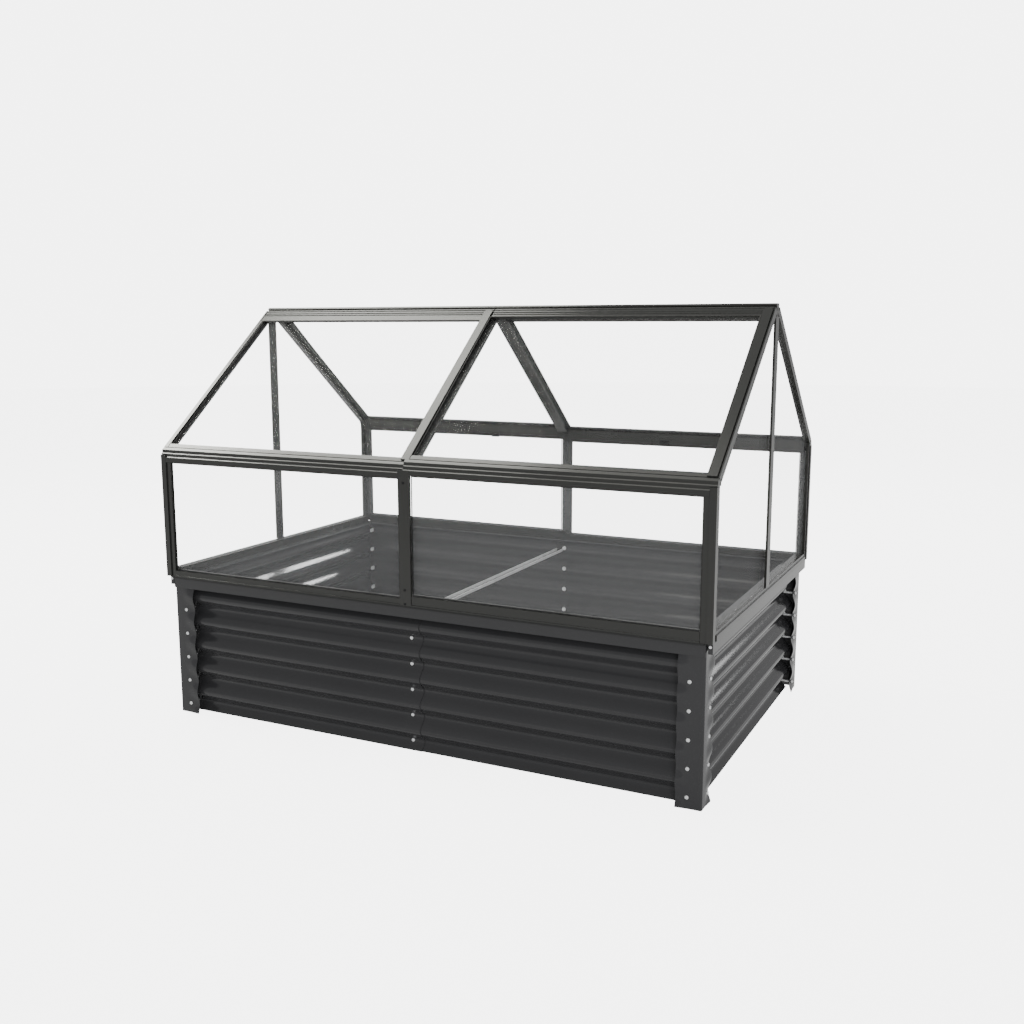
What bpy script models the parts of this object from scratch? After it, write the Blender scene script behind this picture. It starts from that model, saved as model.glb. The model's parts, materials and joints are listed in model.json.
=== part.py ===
"""Cold frame: a corrugated steel raised bed under a glazed gable top with four hinged roof lids.

Units are metres and +Z is up. The origin is on the ground under the middle of the bed, X runs
along the length and Y from front to back. The rear half is the front half turned by half a turn
about Z, so front_left and rear_right share one design, and so do front_right and rear_left. The
roof of front_left and rear_right sits a little lower at the eave than that of the other two bays.
"""
import math

import bmesh
import bpy
from mathutils import Vector

# Driving sizes
GAP = 0.0003                 # clearance kept between touching pieces
BED_HALF_LENGTH = 0.600      # middle to the flat outer face of a bed corner post
BED_HALF_WIDTH = 0.386
BED_HEIGHT = 0.3095          # ground to the top of the bed's rim
HOUSE_HALF_LENGTH = 0.614    # middle to the outer face of the glazed top
HOUSE_HALF_WIDTH = 0.395
HOUSE_BOTTOM = BED_HEIGHT + 2 * GAP
EAVE_EDGE_Y = -0.390         # front edge of the roof planes
LOW_EDGE_Z = 0.588
HIGH_EDGE_Z = 0.5935
RIDGE_TOP = 0.8936
ROOF_ANGLE = math.radians(38.6)

# Corrugated sheet of the bed
PITCH = 0.0536
FIRST_VALLEY = 0.0214        # height of the lowest valley, where the lowest row of bolts sits
WAVE_DEPTH = 0.018
SHEET = 0.0012
PANEL_STEPS = 6              # facets per wave
LONG_CREST = 0.378           # distance of a crest of the front and rear sheets from the middle
END_CREST = 0.591
PANEL_BOTTOM = 0.0045
PANEL_TOP = 0.3065
LONG_PANEL_END = 0.590
END_PANEL_END = 0.3568
LAP = 0.016                  # half of the overlap in the middle of a long side

# Working allowances
CUTTER_MARGIN = 0.025        # how far a cutter runs past the piece it cuts
SHARP_ANGLE = 50.0           # edges sharper than this stay sharp, in degrees

# Corner posts of the bed
LEG = 0.050
POST_SHEET = 0.0015
POST_WAVE = 0.003            # amplitude of the wave at a leg's free edge
POST_FLAT = 0.020            # width of a leg that stays flat next to the bend
POST_BEND = 0.005
POST_COLUMNS = 3
POST_STEPS = 4
POST_TOP = 0.3045
LAST_VALLEY = FIRST_VALLEY + 5 * PITCH

# Rim of the bed
RIM_HEIGHT = 0.025
RIM_FACE = BED_HALF_WIDTH + 0.0025
RIM_FLANGE = 0.0345
RIM_SHEET = 0.0015
SKIRT_BOTTOM = 0.290
SKIRT_OUTER = 0.612
SKIRT_INNER = 0.6035
SKIRT_END = 0.386
SIDE_FLANGE_INNER = 0.569
SIDE_FLANGE_END = 0.3535

# Tie across the bed
TIE_WIDTH = 0.018
TIE_BOTTOM = 0.2800
TIE_HEIGHT = 0.0085
TIE_WALL = 0.0015
TIE_END = 0.3567
TAB_TOP = 0.3060

# Walls of the glazed top
PANE = 0.004
ANGLE_LEG = 0.024
ANGLE_THICK = 0.008
OUTER_STRIP = 0.013
GROOVE_END = 0.0165
GROOVE_DEPTH = 0.004
STRIP_SETBACK = 0.002
SILL_DEPTH = 0.022
SILL_LIP = 0.0025
SILL_SETBACK = 0.0015
LOW_SILL_TOP = 0.3234
HIGH_SILL_TOP = 0.3300
SIDE_SILL_TOP = 0.3267
SIDE_SILL_STEP = 0.010
CENTRE_POST_LEFT = -0.0155
CENTRE_POST_RIGHT = 0.0105
CENTRE_POST_THICK = 0.006
CENTRE_POST_TOP = 0.5775
BAY_SPLIT = -0.004           # where the eave beams of two bays meet
MULLION_HALF_WIDTH = 0.0125
MULLION_THICK = 0.0045
WALL_PANE_Y = -0.3865
WALL_PANE_END = 0.6057
GABLE_PANE_X = -0.6055
GABLE_PANE_EDGE = 0.3820
GABLE_PANE_TOP = 0.8665

# Eave beam, below the front edge of its roof plane
EAVE_STEP = 0.0025           # setback of each ledge of the stepped front
EAVE_BOTTOM = 0.0265
EAVE_LEVELS = (0.0160, 0.0140, 0.0080, 0.0060)
EAVE_LIP = 0.0075            # slope length of the fixed lip below a lid
EAVE_INNER_Y = -0.370
POST_TOP_DROP = 0.0105

# Roof section: s runs up the slope from the front edge, n stands square to the roof plane
SEAT_N = -0.0105             # level of the seats under the lids
RAFTER_N = -0.0160
CENTRE_RAFTER_N = -0.0180
WEB_Y = 0.0045               # half thickness of the ridge beam's web
WEB_BOTTOM = 0.868
HINGE_S = 0.4812
HINGE_N = -0.0040
CAP_END = 0.4838
SHELF_END = 0.4784
SHELF_N = -0.0066
SHELF_THICK = 0.002
NOSE_RADIUS = 0.0020
NECK_N = -0.0025
RAIL_EDGE = 0.0025           # distance of a top rail's upper edge below the hinge axis
RAIL_N = -0.0057             # underside of the lid's bars
LOW_RAIL = 0.038
HIGH_RAIL = 0.030
FLUTE_LINES = (0.0025, 0.0030, 0.0030)
FLUTE_RIDGES = (0.0035, 0.0050, 0.0040)
FLUTE_DEPTH = 0.0012
FLUTE_BEVEL = 0.0004
RAIL_CHAMFER = 0.0010
LID_START = 0.0087
BOTTOM_RAIL_END = 0.0195
FLANGE_START = 0.0090
FLANGE_END = 0.4780
PANE_START = 0.0100
PANE_END = 0.0115            # distance below the hinge axis
PANE_N = -0.0060
STILE_TOP_N = 0.0030
STILE_TOP = 0.0104           # distance below the hinge axis
STILE_ROUND = 0.0040

# Places across the roof, from the middle of the length
END_FLANGE = 0.0100
NARROW_FLANGE = 0.0040
END_LIP = 0.0025
LEDGE_INNER = 0.600
CENTRE_RAFTER_HALF = 0.013
CENTRE_RAFTER_STEP = 0.0040
LOW_LID_RIGHT = 0.0034
LOW_PANE_RIGHT = -0.0052
LOW_STILE_START = 0.0118     # the low lid's stile also clears the lip of the higher bay
HIGH_LID_LEFT = 0.0054
LID_CLEAR = 0.0012
LOW_STILE_LEFT = -0.0155
HIGH_STILE_WIDTH = 0.0185

CHARCOAL = ((0.042, 0.044, 0.046), 0.42, 0.25)
OLIVE_GREY = ((0.075, 0.076, 0.072), 0.35, 0.60)
GALVANISED = ((0.52, 0.53, 0.54), 0.38, 0.90)
CLEAR = ((0.90, 0.93, 0.93), 0.05, 0.0, 0.25)


class Roof:
    """One roof plane, from its front edge up to the hinge axis that all the lids share."""

    def __init__(self, edge_z, hinge=None):
        self.edge = Vector((EAVE_EDGE_Y, edge_z))
        if hinge is None:
            self.angle = ROOF_ANGLE
            self.hinge_s = HINGE_S
        else:
            run = Vector(hinge) - self.edge
            self.angle = math.atan2(run.y, run.x) + math.asin(-HINGE_N / run.length)
            self.hinge_s = math.sqrt(run.length_squared - HINGE_N ** 2)
        self.up = Vector((math.cos(self.angle), math.sin(self.angle)))
        self.out = Vector((-self.up.y, self.up.x))

    def point(self, s, n):
        """Return the (y, z) of a point s up the slope and n out of the plane."""
        place = self.edge + self.up * s + self.out * n
        return place.x, place.y

    def at_y(self, y, n):
        """Return the (y, z) where the line n out of the plane crosses a given y."""
        s = (y - self.edge.x - self.out.x * n) / self.up.x
        return self.point(s, n)


LOW = Roof(LOW_EDGE_Z)
HINGE_Y, HINGE_Z = LOW.point(HINGE_S, HINGE_N)
HIGH = Roof(HIGH_EDGE_Z, (HINGE_Y, HINGE_Z))


class Anchor:
    """An empty that pieces hang on; local coordinates are those of the front half."""

    def __init__(self, name, turned, pivot=(0.0, 0.0, 0.0)):
        self.pivot = Vector(pivot)
        self.empty = bpy.data.objects.new(name, None)
        side = -1.0 if turned else 1.0
        self.empty.location = (side * self.pivot.x, side * self.pivot.y, self.pivot.z)
        self.empty.rotation_euler = (0.0, 0.0, math.pi if turned else 0.0)
        bpy.context.scene.collection.objects.link(self.empty)


def make_material(name, colour, roughness, metallic, alpha=1.0):
    """Return a Principled BSDF material."""
    material = bpy.data.materials.new(name)
    material.use_nodes = True
    shader = material.node_tree.nodes["Principled BSDF"]
    shader.inputs["Base Color"].default_value = (*colour, 1.0)
    shader.inputs["Roughness"].default_value = roughness
    shader.inputs["Metallic"].default_value = metallic
    shader.inputs["Alpha"].default_value = alpha
    return material


def add_object(name, bm, anchor):
    """Turn a bmesh into an object that hangs on an anchor."""
    bmesh.ops.recalc_face_normals(bm, faces=bm.faces)
    bmesh.ops.translate(bm, verts=bm.verts, vec=-anchor.pivot)
    mesh = bpy.data.meshes.new(name)
    bm.to_mesh(mesh)
    bm.free()
    item = bpy.data.objects.new(name, mesh)
    item.parent = anchor.empty
    bpy.context.scene.collection.objects.link(item)
    return item


def add_piece(name, bm, anchor, finish, smooth=False):
    """Add one sub-part with its own material."""
    item = add_object(name, bm, anchor)
    item.data.materials.append(make_material(name + "_finish", *finish))
    if smooth:
        item.data.shade_smooth()
        item.data.set_sharp_from_angle(angle=math.radians(SHARP_ANGLE))
    return item


def combine(item, bm, anchor, operation):
    """Cut a hidden tool from a piece, or weld it on."""
    tool = add_object(f"{item.name}_tool_{len(item.modifiers)}", bm, anchor)
    tool.hide_render = True
    tool.display_type = "WIRE"
    modifier = item.modifiers.new(operation.title(), "BOOLEAN")
    modifier.operation = operation
    modifier.solver = "EXACT"
    modifier.object = tool


def loft(rings):
    """Join closed rings of equal length into one closed solid."""
    bm = bmesh.new()
    rows = [[bm.verts.new(point) for point in ring] for ring in rings]
    for low, high in zip(rows, rows[1:]):
        for i, vert in enumerate(low):
            j = (i + 1) % len(low)
            bm.faces.new((vert, low[j], high[j], high[i]))
    bm.faces.new(list(reversed(rows[0])))
    bm.faces.new(rows[-1])
    return bm


def along_x(outline, start, end):
    """Extrude an outline of (y, z) points along X."""
    return loft([[(x, y, z) for y, z in outline] for x in (start, end)])


def along_y(outline, start, end):
    """Extrude an outline of (x, z) points along Y."""
    return loft([[(x, y, z) for x, z in outline] for y in (start, end)])


def box(low, high):
    """Return a box between two corners."""
    (x0, y0, z0), (x1, y1, z1) = low, high
    outline = [(x0, y0), (x1, y0), (x1, y1), (x0, y1)]
    return loft([[(x, y, z) for x, y in outline] for z in (z0, z1)])


def levels(bottom, top, steps):
    """Return heights from bottom to top that hit every crest and valley of the waves."""
    step = PITCH / steps
    first = math.ceil((bottom - FIRST_VALLEY) / step)
    inner = [FIRST_VALLEY + k * step for k in range(first, first + int((top - bottom) / step) + 2)]
    return [bottom] + [z for z in inner if bottom + step / 4 < z < top - step / 4] + [top]


def wave(z):
    """Return 1 on a crest of the corrugation and -1 in a valley."""
    return -math.cos(2.0 * math.pi * (z - FIRST_VALLEY) / PITCH)


def sheet_outline(crest, inset):
    """Outline of a corrugated sheet as (distance towards the front or left, z) points."""
    heights = levels(PANEL_BOTTOM, PANEL_TOP, PANEL_STEPS)
    outer = [(crest - inset - WAVE_DEPTH / 2 * (1.0 - wave(z)), z) for z in heights]
    return [(-d, z) for d, z in outer] + [(-d + SHEET, z) for d, z in reversed(outer)]


def bed_long_side(anchor, left_name, right_name):
    """Two corrugated sheets that lap over each other in the middle."""
    outline = sheet_outline(LONG_CREST, 0.0)
    add_piece(left_name, along_x(outline, -LONG_PANEL_END, LAP), anchor, CHARCOAL, smooth=True)
    outline = sheet_outline(LONG_CREST, SHEET + GAP)
    add_piece(right_name, along_x(outline, -LAP, LONG_PANEL_END), anchor, CHARCOAL, smooth=True)


def bed_end(anchor, name):
    """The corrugated sheet of the left end."""
    outline = sheet_outline(END_CREST, 0.0)
    add_piece(name, along_y(outline, -END_PANEL_END, END_PANEL_END), anchor, CHARCOAL, smooth=True)


def bed_post(anchor, name, side):
    """A folded corner post whose free edges run in waves; side is -1 at the left, 1 at the right."""
    columns = [LEG - (LEG - POST_FLAT) * i / POST_COLUMNS for i in range(POST_COLUMNS + 1)]
    columns.append(POST_BEND)

    def ring(z):
        phase = wave(min(z, LAST_VALLEY))

        def skin(depth):
            front = []
            for u in columns:
                swell = POST_WAVE * max(0.0, (u - POST_FLAT) / (LEG - POST_FLAT)) * phase
                front.append((u, depth - swell))
            bend = POST_BEND - (POST_BEND - depth) * math.sqrt(0.5)
            return front + [(bend, bend)] + [(v, u) for u, v in reversed(front)]

        corner = skin(0.0) + list(reversed(skin(POST_SHEET)))
        return [(side * (BED_HALF_LENGTH - u), v - BED_HALF_WIDTH, z) for u, v in corner]

    heights = levels(0.0, POST_TOP, POST_STEPS)
    add_piece(name, loft([ring(z) for z in heights]), anchor, CHARCOAL, smooth=True)


def bed_rim_front(anchor, name):
    """The folded band along the top of a long side."""
    inner = RIM_FACE - RIM_SHEET
    outline = [
        (-RIM_FACE, BED_HEIGHT - RIM_HEIGHT),
        (-RIM_FACE, BED_HEIGHT),
        (-RIM_FACE + RIM_FLANGE, BED_HEIGHT),
        (-RIM_FACE + RIM_FLANGE, BED_HEIGHT - RIM_SHEET),
        (-inner, BED_HEIGHT - RIM_SHEET),
        (-inner, BED_HEIGHT - RIM_HEIGHT),
    ]
    add_piece(name, along_x(outline, -BED_HALF_LENGTH, BED_HALF_LENGTH), anchor, CHARCOAL)


def bed_rim_side(anchor, name):
    """The skirt along the top of the left end, with a flange that reaches over the sheet."""
    flange_z = BED_HEIGHT - RIM_SHEET

    def ring(y, reach):
        outline = [
            (SKIRT_OUTER, SKIRT_BOTTOM),
            (SKIRT_OUTER, BED_HEIGHT),
            (reach, BED_HEIGHT),
            (reach, flange_z + (RIM_SHEET / 2 if reach == SKIRT_INNER else 0.0)),
            (SKIRT_INNER, flange_z),
            (SKIRT_INNER, SKIRT_BOTTOM),
        ]
        return [(-x, y, z) for x, z in outline]

    edge = SIDE_FLANGE_END
    places = [
        (-SKIRT_END, SKIRT_INNER),
        (-edge - GAP, SKIRT_INNER),
        (-edge, SIDE_FLANGE_INNER),
        (edge, SIDE_FLANGE_INNER),
        (edge + GAP, SKIRT_INNER),
        (SKIRT_END, SKIRT_INNER),
    ]
    add_piece(name, loft([ring(y, reach) for y, reach in places]), anchor, CHARCOAL)


def tie_brace(anchor):
    """A channel across the bed, open at the top, with an upright tab at each end."""
    half = TIE_WIDTH / 2
    top = TIE_BOTTOM + TIE_HEIGHT
    floor = TIE_BOTTOM + TIE_WALL
    outline = [
        (-half, TIE_BOTTOM),
        (half, TIE_BOTTOM),
        (half, top),
        (half - TIE_WALL, top),
        (half - TIE_WALL, floor),
        (-half + TIE_WALL, floor),
        (-half + TIE_WALL, top),
        (-half, top),
    ]
    reach = TIE_END - TIE_WALL / 2
    brace = add_piece("tie_brace", along_y(outline, -reach, reach), anchor, GALVANISED)
    for side in (-1.0, 1.0):
        near, far = sorted((side * (TIE_END - TIE_WALL), side * TIE_END))
        tab = box((-half, near, TIE_BOTTOM), (half, far, TAB_TOP))
        combine(brace, tab, anchor, "UNION")


def sill_long(anchor, name):
    """The front sill, one piece under both bays, with a step where they meet."""
    def ring(x, top):
        front = -HOUSE_HALF_WIDTH
        lip = HOUSE_BOTTOM + SILL_LIP
        outline = [
            (front, HOUSE_BOTTOM),
            (front, lip),
            (front + SILL_SETBACK, lip + SILL_SETBACK / 2),
            (front + SILL_SETBACK, top),
            (front + SILL_DEPTH, top),
            (front + SILL_DEPTH, HOUSE_BOTTOM),
        ]
        return [(x, y, z) for y, z in outline]

    end = HOUSE_HALF_LENGTH - ANGLE_LEG - GAP
    split = BAY_SPLIT + GAP
    places = [
        (-end, LOW_SILL_TOP),
        (split, LOW_SILL_TOP),
        (split + GAP, HIGH_SILL_TOP),
        (end, HIGH_SILL_TOP),
    ]
    sill = add_piece(name, loft([ring(x, top) for x, top in places]), anchor, OLIVE_GREY)
    combine(sill, centre_post_notch(HIGH_SILL_TOP + CUTTER_MARGIN), anchor, "DIFFERENCE")


def centre_post_notch(top):
    """Room behind the centre post, up to a given height."""
    back = -HOUSE_HALF_WIDTH + CENTRE_POST_THICK + GAP
    return box((CENTRE_POST_LEFT - GAP, -HOUSE_HALF_WIDTH - EAVE_STEP, HOUSE_BOTTOM - CUTTER_MARGIN),
               (CENTRE_POST_RIGHT + GAP, back, top))


def sill_side(anchor, name):
    """The sill of the left end."""
    face = -HOUSE_HALF_LENGTH
    step = HOUSE_BOTTOM + SIDE_SILL_STEP
    outline = [
        (face, HOUSE_BOTTOM),
        (face, step),
        (face + EAVE_STEP, step + EAVE_STEP / 2),
        (face + EAVE_STEP, SIDE_SILL_TOP),
        (face + SILL_DEPTH, SIDE_SILL_TOP),
        (face + SILL_DEPTH, HOUSE_BOTTOM),
    ]
    end = HOUSE_HALF_WIDTH - ANGLE_LEG - GAP
    add_piece(name, along_y(outline, -end, end), anchor, OLIVE_GREY)


def house_post(anchor, name, side, roof, grooved):
    """An angle at a corner of the glazed top; its corner and side leg reach up beside the eave."""
    groove = GROOVE_END if grooved else OUTER_STRIP + GAP
    depth = GROOVE_DEPTH if grooved else STRIP_SETBACK + GAP
    leg = [
        (OUTER_STRIP, 0.0),
        (OUTER_STRIP, depth),
        (groove, depth),
        (groove, STRIP_SETBACK),
        (ANGLE_LEG, STRIP_SETBACK),
        (ANGLE_LEG, ANGLE_THICK),
    ]
    outline = [(0.0, 0.0)] + leg + [(OUTER_STRIP, ANGLE_THICK), (ANGLE_THICK, ANGLE_THICK)]
    outline += [(v, u) for u, v in reversed(leg)]

    def place(point, z):
        return side * (HOUSE_HALF_LENGTH - point[0]), point[1] - HOUSE_HALF_WIDTH, z

    seat = roof.edge.y - EAVE_BOTTOM - GAP
    bm = bmesh.new()
    bottom = [bm.verts.new(place(p, HOUSE_BOTTOM)) for p in outline]
    top = [bm.verts.new(place(p, seat)) for p in outline]
    for i, vert in enumerate(bottom):
        j = (i + 1) % len(bottom)
        bm.faces.new((vert, bottom[j], top[j], top[i]))
    bm.faces.new(list(reversed(bottom)))
    front_leg_end = len(leg) + 2
    bm.faces.new(top[2:front_leg_end])
    raised = bm.faces.new(top[:3] + top[front_leg_end - 1:])
    bmesh.ops.recalc_face_normals(bm, faces=bm.faces)
    grown = bmesh.ops.extrude_face_region(bm, geom=[raised])
    moved = [part for part in grown["geom"] if isinstance(part, bmesh.types.BMVert)]
    rise = EAVE_BOTTOM - POST_TOP_DROP + GAP
    bmesh.ops.translate(bm, verts=moved, vec=(0.0, 0.0, rise))
    if raised.is_valid:
        bm.faces.remove(raised)
    add_piece(name, bm, anchor, OLIVE_GREY)


def centre_post(anchor, name):
    """The flat post between the two front panes."""
    post = box((CENTRE_POST_LEFT, -HOUSE_HALF_WIDTH, HOUSE_BOTTOM),
               (CENTRE_POST_RIGHT, -HOUSE_HALF_WIDTH + CENTRE_POST_THICK, CENTRE_POST_TOP))
    add_piece(name, post, anchor, OLIVE_GREY)


def gable_mullion(anchor, name):
    """The flat bar that stands in the middle of the left gable."""
    bar = box((-HOUSE_HALF_LENGTH, -MULLION_HALF_WIDTH, SIDE_SILL_TOP + GAP),
              (-HOUSE_HALF_LENGTH + MULLION_THICK, MULLION_HALF_WIDTH, WEB_BOTTOM - GAP))
    add_piece(name, bar, anchor, OLIVE_GREY)


def eave_beam(anchor, name, roof, side):
    """The stepped beam along the front edge of one bay, with a seat for the lid's lower edge."""
    edge_z = roof.edge.y
    front = -HOUSE_HALF_WIDTH
    first, second, third, fourth = (edge_z - drop for drop in EAVE_LEVELS)
    outline = [
        (front, edge_z - EAVE_BOTTOM),
        (front, first),
        (front + EAVE_STEP, second),
        (front + EAVE_STEP, third),
        (front + 2 * EAVE_STEP, fourth),
        roof.point(0.0, 0.0),
        roof.point(EAVE_LIP, 0.0),
        roof.point(EAVE_LIP + EAVE_STEP / 4, SEAT_N),
        roof.at_y(EAVE_INNER_Y, SEAT_N),
        (EAVE_INNER_Y, edge_z - EAVE_BOTTOM),
    ]
    outer = side * (HOUSE_HALF_LENGTH - GAP)
    start, end = sorted((outer, BAY_SPLIT + side * GAP))
    beam = add_piece(name, along_x(outline, start, end), anchor, OLIVE_GREY)
    combine(beam, centre_post_notch(CENTRE_POST_TOP + GAP), anchor, "DIFFERENCE")
    cut_inner = side * (HOUSE_HALF_LENGTH - OUTER_STRIP - GAP)
    cut_outer = side * (HOUSE_HALF_LENGTH + CUTTER_MARGIN)
    near, far = sorted((cut_inner, cut_outer))
    room = box((near, front - EAVE_STEP, edge_z - EAVE_BOTTOM - EAVE_STEP),
               (far, EAVE_INNER_Y + EAVE_STEP, edge_z - POST_TOP_DROP + GAP))
    combine(beam, room, anchor, "DIFFERENCE")


def ridge_beam(anchor):
    """The ridge: a flat-topped cap whose lips overhang the hinge pockets, on a central web."""
    under = SHELF_N - SHELF_THICK
    shoulder_y = EAVE_EDGE_Y + (RIDGE_TOP - LOW_EDGE_Z) / math.tan(ROOF_ANGLE)
    half = [
        (shoulder_y, RIDGE_TOP),
        LOW.point(CAP_END, 0.0),
        LOW.point(CAP_END, SHELF_N),
        LOW.point(SHELF_END, SHELF_N),
        LOW.point(SHELF_END, under),
        LOW.at_y(-WEB_Y, under),
        (-WEB_Y, WEB_BOTTOM),
    ]
    outline = half + [(-y, z) for y, z in reversed(half)]
    add_piece("ridge_beam", along_x(outline, -HOUSE_HALF_LENGTH, HOUSE_HALF_LENGTH), anchor, OLIVE_GREY)


def rafter_outline(roof, top_n, bottom_n, inset=0.0):
    """Side outline of a bar between the eave beam and the ridge beam's web."""
    foot = EAVE_INNER_Y + GAP + inset
    head = -WEB_Y - GAP - inset
    return [
        roof.at_y(foot, top_n),
        roof.at_y(head, top_n),
        roof.at_y(head, bottom_n),
        roof.at_y(foot, bottom_n),
    ]


def flange_outline(roof):
    """Side outline of the part of an end rafter that rises beside the lid."""
    foot = EAVE_INNER_Y + GAP
    head = -WEB_Y - GAP
    end = FLANGE_END + roof.hinge_s - HINGE_S
    return [
        roof.point(FLANGE_START, 0.0),
        roof.point(end, 0.0),
        roof.point(end, SEAT_N),
        roof.at_y(head, SEAT_N),
        roof.at_y(head, RAFTER_N),
        roof.at_y(foot, RAFTER_N),
        roof.at_y(foot, SEAT_N + GAP),
        roof.point(FLANGE_START, SEAT_N + GAP),
    ]


def end_rafter(anchor, name, roof, side, flange):
    """A rafter at a gable: a flange or lip beside the lid and a ledge under the pane."""
    def span(inner):
        return sorted((side * HOUSE_HALF_LENGTH, side * inner))

    start, end = span(HOUSE_HALF_LENGTH - flange)
    rafter = add_piece(name, along_x(flange_outline(roof), start, end), anchor, OLIVE_GREY)
    inner, outer = sorted((side * LEDGE_INNER, side * (HOUSE_HALF_LENGTH - flange / 2)))
    ledge = along_x(rafter_outline(roof, SEAT_N - GAP, RAFTER_N + GAP, GAP), inner, outer)
    combine(rafter, ledge, anchor, "UNION")
    if flange > NARROW_FLANGE:
        low = roof.hinge_s - RAIL_EDGE - LOW_RAIL - LID_CLEAR
        reach = roof.hinge_s
        floor = RAIL_N - LID_CLEAR
        outline = [
            roof.point(low, STILE_TOP_N),
            roof.point(reach, STILE_TOP_N),
            roof.point(reach, floor),
            roof.point(low, floor),
        ]
        cut_inner = side * (LEDGE_INNER - NARROW_FLANGE)
        cut_outer = side * (HOUSE_HALF_LENGTH - NARROW_FLANGE)
        inner, outer = sorted((cut_inner, cut_outer))
        combine(rafter, along_x(outline, inner, outer), anchor, "DIFFERENCE")


def centre_rafter(anchor, name):
    """The rafter between two bays, with a higher seat under the higher lid."""
    low = rafter_outline(LOW, SEAT_N, CENTRE_RAFTER_N)
    high = rafter_outline(HIGH, SEAT_N, CENTRE_RAFTER_N, GAP)
    high = high[:2] + rafter_outline(LOW, SEAT_N, CENTRE_RAFTER_N + GAP, GAP)[2:]
    low_bar = along_x(low, -CENTRE_RAFTER_HALF, CENTRE_RAFTER_STEP + GAP)
    rafter = add_piece(name, low_bar, anchor, OLIVE_GREY)
    combine(rafter, along_x(high, CENTRE_RAFTER_STEP, CENTRE_RAFTER_HALF), anchor, "UNION")


def wall_pane(anchor, name, roof, side, sill_top):
    """The upright pane of one bay."""
    start, end = sorted((side * WALL_PANE_END, BAY_SPLIT + GAP + side * 2 * GAP))
    pane = box((start, WALL_PANE_Y, sill_top + GAP),
               (end, WALL_PANE_Y + PANE, roof.edge.y - EAVE_BOTTOM - GAP))
    add_piece(name, pane, anchor, CLEAR)


def gable_pane(anchor, name):
    """The pane of the left gable, below both rakes and behind the mullion."""
    def half(roof):
        top = roof.edge.y - POST_TOP_DROP
        foot = EAVE_INNER_Y + GAP
        under = RAFTER_N - GAP
        rise = (GABLE_PANE_TOP - roof.at_y(0.0, under)[1]) / math.tan(roof.angle)
        return [(-GABLE_PANE_EDGE, SIDE_SILL_TOP + GAP), (-GABLE_PANE_EDGE, top), (foot, top),
                roof.at_y(foot, under), (rise, GABLE_PANE_TOP)]

    outline = half(LOW) + [(-y, z) for y, z in reversed(half(HIGH))]
    pane = along_x(outline, GABLE_PANE_X, GABLE_PANE_X + PANE)
    add_piece(name, pane, anchor, CLEAR)


def top_rail_outline(roof, length):
    """Fluted bar with a round nose on the hinge axis, as (s, n) points."""
    def arc_angle(n):
        return math.pi - math.asin((n - HINGE_N) / NOSE_RADIUS)

    start = arc_angle(NECK_N)
    end = -arc_angle(2 * HINGE_N - RAIL_N)
    steps = 8
    points = []
    for i in range(steps + 1):
        angle = start + (end - start) * i / steps
        points.append((NOSE_RADIUS * math.cos(angle), HINGE_N + NOSE_RADIUS * math.sin(angle)))
    foot = -RAIL_EDGE - length
    points += [(foot, RAIL_N), (foot, 0.0)]
    ridge_end = -RAIL_EDGE - sum(FLUTE_LINES) - sum(FLUTE_RIDGES)
    for line, ridge in zip(FLUTE_LINES, FLUTE_RIDGES):
        points += [(ridge_end, 0.0), (ridge_end + FLUTE_BEVEL, -FLUTE_DEPTH)]
        points += [(ridge_end + line - FLUTE_BEVEL, -FLUTE_DEPTH), (ridge_end + line, 0.0)]
        ridge_end += line + ridge
    points += [(-RAIL_EDGE - RAIL_CHAMFER, 0.0), (-RAIL_EDGE, -FLUTE_DEPTH), (-RAIL_EDGE, NECK_N)]
    return [roof.point(roof.hinge_s + d, n) for d, n in points]


def lid_stile(anchor, name, roof, length, foot, left, right):
    """The bar down a lid's right-hand edge; its ends lap over the two rails."""
    rail_foot = roof.hinge_s - RAIL_EDGE - length - GAP
    top = roof.hinge_s - STILE_TOP
    rings = []
    for share in (0.0, 0.3, 1.0):
        drop = STILE_ROUND * (1.0 - math.sqrt(1.0 - (1.0 - share) ** 2))
        rings.append((left + STILE_ROUND * share, top - drop))
    for share in (1.0, 0.3, 0.0):
        drop = STILE_ROUND * (1.0 - math.sqrt(1.0 - (1.0 - share) ** 2))
        rings.append((right - STILE_ROUND * share, top - drop))
    solid = []
    for x, reach in rings:
        outline = [
            (foot, GAP),
            (BOTTOM_RAIL_END + GAP, GAP),
            (BOTTOM_RAIL_END + GAP, RAIL_N),
            (rail_foot, RAIL_N),
            (rail_foot, GAP),
            (reach, GAP),
            (reach, STILE_TOP_N),
            (foot, STILE_TOP_N),
        ]
        solid.append([(x, *roof.point(s, n)) for s, n in outline])
    add_piece(name, loft(solid), anchor, OLIVE_GREY)


def lid(name, turned, roof, length, rail_ends, pane_ends, stile_left, stile_foot):
    """One hinged lid: a pane under a top rail, a bottom rail and a stile."""
    anchor = Anchor(name + "_hinge", turned, (0.0, HINGE_Y, HINGE_Z))
    rail = along_x(top_rail_outline(roof, length), *rail_ends)
    add_piece(name + "_top_rail", rail, anchor, OLIVE_GREY)
    low = [(LID_START, RAIL_N), (BOTTOM_RAIL_END, RAIL_N), (BOTTOM_RAIL_END, 0.0), (LID_START, 0.0)]
    bar = along_x([roof.point(s, n) for s, n in low], *pane_ends)
    add_piece(name + "_bottom_rail", bar, anchor, OLIVE_GREY)
    lid_stile(anchor, name + "_stile", roof, length, stile_foot, stile_left, rail_ends[1])
    head = roof.hinge_s - PANE_END
    plate = [(PANE_START, PANE_N - PANE), (head, PANE_N - PANE), (head, PANE_N), (PANE_START, PANE_N)]
    pane = along_x([roof.point(s, n) for s, n in plate], *pane_ends)
    add_piece(name + "_pane", pane, anchor, CLEAR)


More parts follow.
